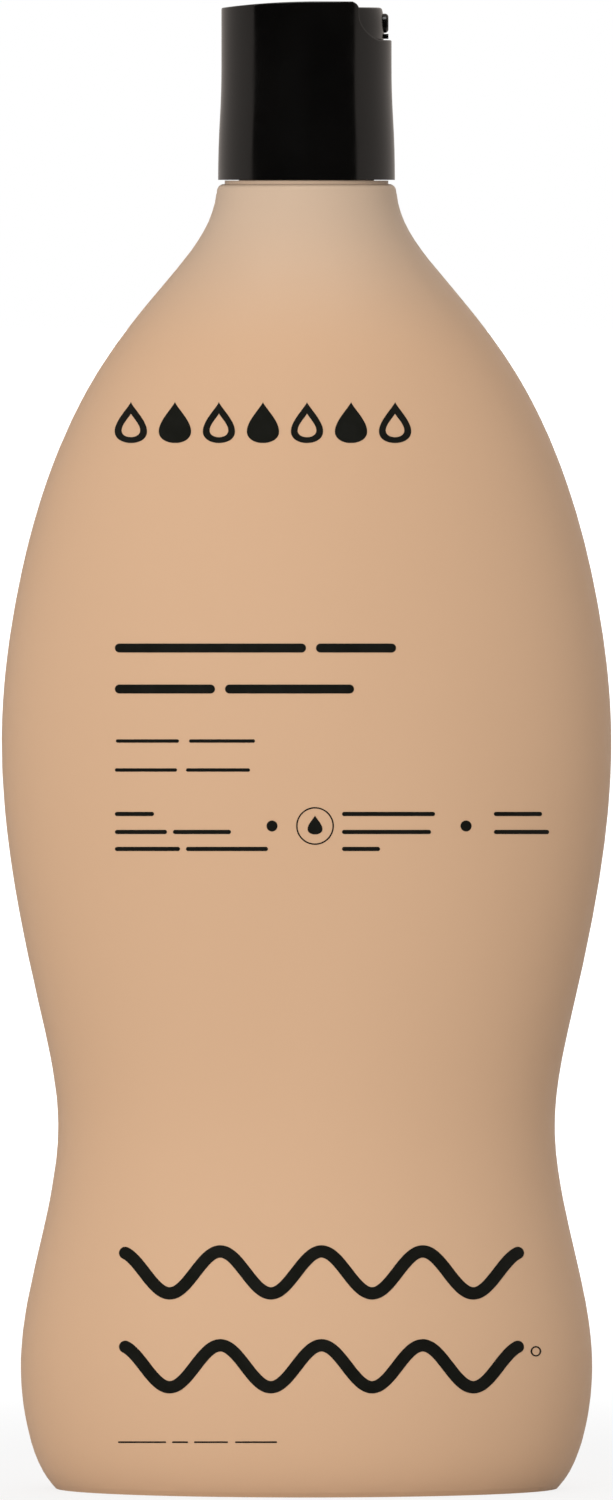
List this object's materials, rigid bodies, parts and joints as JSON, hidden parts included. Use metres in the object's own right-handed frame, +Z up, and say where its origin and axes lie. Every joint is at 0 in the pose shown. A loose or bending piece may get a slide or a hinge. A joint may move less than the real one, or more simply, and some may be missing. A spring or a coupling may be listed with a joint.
{
  "type": "dish soap bottle",
  "caption": "Oval squeezable bottle with a narrow waist, a screw neck and a round closure whose disc tilts to lift its spout.",
  "frame": {"origin": "middle of the base, on the surface that the bottle stands on", "axes": "+Z up along the neck, +X to the side that the spout points to, -Y to the printed front"},
  "size_m": [0.0974, 0.0662, 0.2379],
  "materials": {
    "bottle_plastic": "satin",
    "liner_foam": "matte",
    "cap_plastic": "satin",
    "disc_plastic": "satin"
  },
  "bodies": {
    "bottle": {"bottle": "bottle_plastic"},
    "liner": {"seal_liner": "liner_foam"},
    "cap": {"cap_body": "cap_plastic"},
    "disc": {"press_disc": "disc_plastic"}
  },
  "joints": [
    {"name": "cap_lift", "type": "slide", "parent": "bottle", "child": "liner", "axis": [0, 0, 1], "range_m": [0, 0.00476]},
    {"name": "cap_turn", "type": "hinge", "parent": "liner", "child": "cap", "pos_m": [0, 0, 0.2094], "axis": [0, 0, 1], "range_deg": [0, 540]},
    {"name": "disc_tilt", "type": "hinge", "parent": "cap", "child": "disc", "pos_m": [0, 0, 0.2337], "axis": [0, -1, 0], "range_deg": [0, 25]}
  ],
  "couplings": [
    {"joint": "cap_lift", "follows": "cap_turn", "m_per_rad": 0.00050532}
  ]
}
